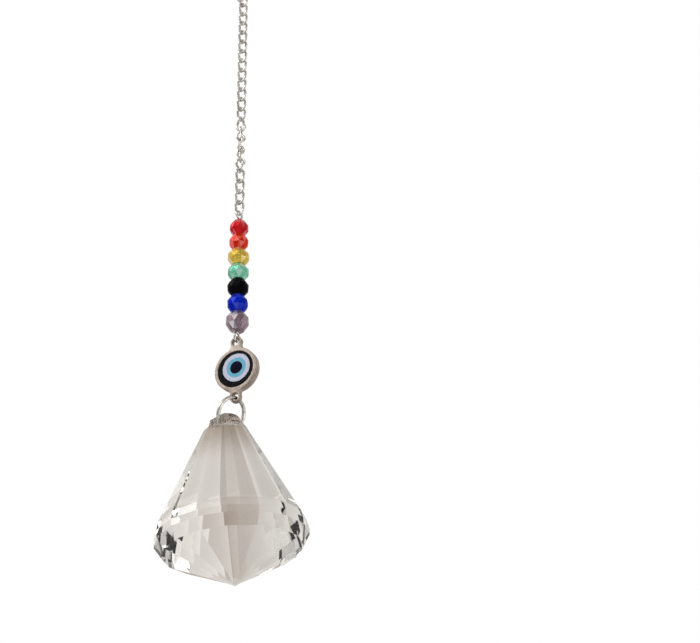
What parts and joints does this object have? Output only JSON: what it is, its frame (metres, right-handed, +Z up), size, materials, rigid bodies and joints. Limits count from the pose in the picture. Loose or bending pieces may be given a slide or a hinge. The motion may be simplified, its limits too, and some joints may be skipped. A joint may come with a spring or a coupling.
{
  "type": "evil eye ornament",
  "caption": "Hanging suncatcher ornament: a curb chain, faceted rainbow beads on an eye pin, a round evil eye in a metal setting and a cut glass drop.",
  "frame": {"origin": "inside top of the hanging ring, where a hook carries the ornament", "axes": "+Z up along the hanging chain, -Y out of the eye, +X to the right as the eye is faced"},
  "size_m": [0.04, 0.04, 0.2031],
  "materials": {
    "silver_wire": "polished plated wire",
    "setting_metal": "satin",
    "enamel_black": "glossy enamel",
    "enamel_white": "glossy enamel",
    "enamel_blue": "glossy enamel",
    "enamel_navy": "glossy enamel",
    "clear_crystal": "cut and polished",
    "glass_red": "lustred faceted glass",
    "glass_orange": "lustred faceted glass",
    "glass_gold": "lustred faceted glass",
    "glass_mint": "lustred faceted glass",
    "glass_black": "lustred faceted glass",
    "glass_blue": "lustred faceted glass",
    "glass_purple": "lustred faceted glass"
  },
  "bodies": {
    "hanging_ring": {"hanging_ring": "silver_wire"},
    "eye": {"eye_setting": "setting_metal", "eye_ground": "enamel_black", "eye_white_ring": "enamel_white", "eye_blue_ring": "enamel_blue", "eye_pupil": "enamel_navy"},
    "eye_pin": {"eye_pin": "silver_wire"},
    "jump_ring": {"jump_ring": "silver_wire"},
    "crystal_drop": {"crystal_drop": "clear_crystal"},
    "chain_link_01": {"chain_link_01": "silver_wire"},
    "chain_link_02": {"chain_link_02": "silver_wire"},
    "chain_link_03": {"chain_link_03": "silver_wire"},
    "chain_link_04": {"chain_link_04": "silver_wire"},
    "chain_link_05": {"chain_link_05": "silver_wire"},
    "chain_link_06": {"chain_link_06": "silver_wire"},
    "chain_link_07": {"chain_link_07": "silver_wire"},
    "chain_link_08": {"chain_link_08": "silver_wire"},
    "chain_link_09": {"chain_link_09": "silver_wire"},
    "chain_link_10": {"chain_link_10": "silver_wire"},
    "chain_link_11": {"chain_link_11": "silver_wire"},
    "chain_link_12": {"chain_link_12": "silver_wire"},
    "chain_link_13": {"chain_link_13": "silver_wire"},
    "chain_link_14": {"chain_link_14": "silver_wire"},
    "chain_link_15": {"chain_link_15": "silver_wire"},
    "chain_link_16": {"chain_link_16": "silver_wire"},
    "chain_link_17": {"chain_link_17": "silver_wire"},
    "chain_link_18": {"chain_link_18": "silver_wire"},
    "chain_link_19": {"chain_link_19": "silver_wire"},
    "chain_link_20": {"chain_link_20": "silver_wire"},
    "chain_link_21": {"chain_link_21": "silver_wire"},
    "chain_link_22": {"chain_link_22": "silver_wire"},
    "bead_red": {"bead_red": "glass_red"},
    "bead_orange": {"bead_orange": "glass_orange"},
    "bead_gold": {"bead_gold": "glass_gold"},
    "bead_mint": {"bead_mint": "glass_mint"},
    "bead_black": {"bead_black": "glass_black"},
    "bead_blue": {"bead_blue": "glass_blue"},
    "bead_purple": {"bead_purple": "glass_purple"}
  },
  "joints": [
    {"name": "link_01_swing", "type": "hinge", "parent": "hanging_ring", "child": "chain_link_01", "pos_m": [0, 0, -0.0095], "axis": [-0.766, 0.6428, 0], "range_deg": [-60, 60]},
    {"name": "link_02_swing", "type": "hinge", "parent": "chain_link_01", "child": "chain_link_02", "pos_m": [0, 0, -0.01221], "axis": [0.6428, 0.766, 0], "range_deg": [-20, 20]},
    {"name": "link_03_swing", "type": "hinge", "parent": "chain_link_02", "child": "chain_link_03", "pos_m": [0, 0, -0.01668], "axis": [-0.9848, 0.1736, 0], "range_deg": [-30, 30]},
    {"name": "link_04_swing", "type": "hinge", "parent": "chain_link_03", "child": "chain_link_04", "pos_m": [0, 0, -0.01971], "axis": [-0.6428, -0.766, 0], "range_deg": [-20, 20]},
    {"name": "link_05_swing", "type": "hinge", "parent": "chain_link_04", "child": "chain_link_05", "pos_m": [0, 0, -0.02418], "axis": [0.9848, -0.1736, 0], "range_deg": [-30, 30]},
    {"name": "link_06_swing", "type": "hinge", "parent": "chain_link_05", "child": "chain_link_06", "pos_m": [0, 0, -0.02721], "axis": [0.6428, 0.766, 0], "range_deg": [-20, 20]},
    {"name": "link_07_swing", "type": "hinge", "parent": "chain_link_06", "child": "chain_link_07", "pos_m": [0, 0, -0.03168], "axis": [-0.9848, 0.1736, 0], "range_deg": [-30, 30]},
    {"name": "link_08_swing", "type": "hinge", "parent": "chain_link_07", "child": "chain_link_08", "pos_m": [0, 0, -0.03471], "axis": [-0.6428, -0.766, 0], "range_deg": [-20, 20]},
    {"name": "link_09_swing", "type": "hinge", "parent": "chain_link_08", "child": "chain_link_09", "pos_m": [0, 0, -0.03918], "axis": [0.9848, -0.1736, 0], "range_deg": [-30, 30]},
    {"name": "link_10_swing", "type": "hinge", "parent": "chain_link_09", "child": "chain_link_10", "pos_m": [0, 0, -0.04221], "axis": [0.6428, 0.766, 0], "range_deg": [-20, 20]},
    {"name": "link_11_swing", "type": "hinge", "parent": "chain_link_10", "child": "chain_link_11", "pos_m": [0, 0, -0.04668], "axis": [-0.9848, 0.1736, 0], "range_deg": [-30, 30]},
    {"name": "link_12_swing", "type": "hinge", "parent": "chain_link_11", "child": "chain_link_12", "pos_m": [0, 0, -0.04971], "axis": [-0.6428, -0.766, 0], "range_deg": [-20, 20]},
    {"name": "link_13_swing", "type": "hinge", "parent": "chain_link_12", "child": "chain_link_13", "pos_m": [0, 0, -0.05418], "axis": [0.9848, -0.1736, 0], "range_deg": [-30, 30]},
    {"name": "link_14_swing", "type": "hinge", "parent": "chain_link_13", "child": "chain_link_14", "pos_m": [0, 0, -0.05721], "axis": [0.1736, 0.9848, 0], "range_deg": [-45, 45]},
    {"name": "link_15_swing", "type": "hinge", "parent": "chain_link_14", "child": "chain_link_15", "pos_m": [0, 0, -0.06168], "axis": [-0.9397, -0.342, 0], "range_deg": [-45, 45]},
    {"name": "link_16_swing", "type": "hinge", "parent": "chain_link_15", "child": "chain_link_16", "pos_m": [0, 0, -0.06471], "axis": [0.766, -0.6428, 0], "range_deg": [-45, 45]},
    {"name": "link_17_swing", "type": "hinge", "parent": "chain_link_16", "child": "chain_link_17", "pos_m": [0, 0, -0.06918], "axis": [0.1736, 0.9848, 0], "range_deg": [-45, 45]},
    {"name": "link_18_swing", "type": "hinge", "parent": "chain_link_17", "child": "chain_link_18", "pos_m": [0, 0, -0.07221], "axis": [-0.9397, -0.342, 0], "range_deg": [-45, 45]},
    {"name": "link_19_swing", "type": "hinge", "parent": "chain_link_18", "child": "chain_link_19", "pos_m": [0, 0, -0.07668], "axis": [0.766, -0.6428, 0], "range_deg": [-45, 45]},
    {"name": "link_20_swing", "type": "hinge", "parent": "chain_link_19", "child": "chain_link_20", "pos_m": [0, 0, -0.07971], "axis": [0.6428, 0.766, 0], "range_deg": [-20, 20]},
    {"name": "link_21_swing", "type": "hinge", "parent": "chain_link_20", "child": "chain_link_21", "pos_m": [0, 0, -0.08418], "axis": [-0.9848, 0.1736, 0], "range_deg": [-30, 30]},
    {"name": "link_22_swing", "type": "hinge", "parent": "chain_link_21", "child": "chain_link_22", "pos_m": [0, 0, -0.08721], "axis": [-0.6428, -0.766, 0], "range_deg": [-20, 20]},
    {"name": "pin_swing", "type": "hinge", "parent": "chain_link_22", "child": "eye_pin", "pos_m": [0, 0, -0.09168], "axis": [-0.9848, 0.1736, 0], "range_deg": [-60, 60]},
    {"name": "bead_red_spin", "type": "hinge", "parent": "eye_pin", "child": "bead_red", "pos_m": [0, 0, -0.1], "axis": [0, 0, 1], "continuous": true},
    {"name": "bead_orange_spin", "type": "hinge", "parent": "eye_pin", "child": "bead_orange", "pos_m": [0, 0, -0.1], "axis": [0, 0, 1], "continuous": true},
    {"name": "bead_gold_spin", "type": "hinge", "parent": "eye_pin", "child": "bead_gold", "pos_m": [0, 0, -0.1], "axis": [0, 0, 1], "continuous": true},
    {"name": "bead_mint_spin", "type": "hinge", "parent": "eye_pin", "child": "bead_mint", "pos_m": [0, 0, -0.1], "axis": [0, 0, 1], "continuous": true},
    {"name": "bead_black_spin", "type": "hinge", "parent": "eye_pin", "child": "bead_black", "pos_m": [0, 0, -0.1], "axis": [0, 0, 1], "continuous": true},
    {"name": "bead_blue_spin", "type": "hinge", "parent": "eye_pin", "child": "bead_blue", "pos_m": [0, 0, -0.1], "axis": [0, 0, 1], "continuous": true},
    {"name": "bead_purple_spin", "type": "hinge", "parent": "eye_pin", "child": "bead_purple", "pos_m": [0, 0, -0.1], "axis": [0, 0, 1], "continuous": true},
    {"name": "eye_swing", "type": "hinge", "parent": "eye_pin", "child": "eye", "pos_m": [0, 0, -0.13333], "axis": [0, 1, 0], "range_deg": [-45, 45]},
    {"name": "jump_ring_turn", "type": "hinge", "parent": "eye", "child": "jump_ring", "pos_m": [-0.00161, 0.00049, -0.15446], "axis": [0.8867, -0.2711, -0.3746], "range_deg": [-30, 30]},
    {"name": "crystal_swing", "type": "hinge", "parent": "jump_ring", "child": "crystal_drop", "pos_m": [-0.00296, 0.00091, -0.15796], "axis": [0.2924, 0.9563, 0], "range_deg": [-60, 60]}
  ]
}
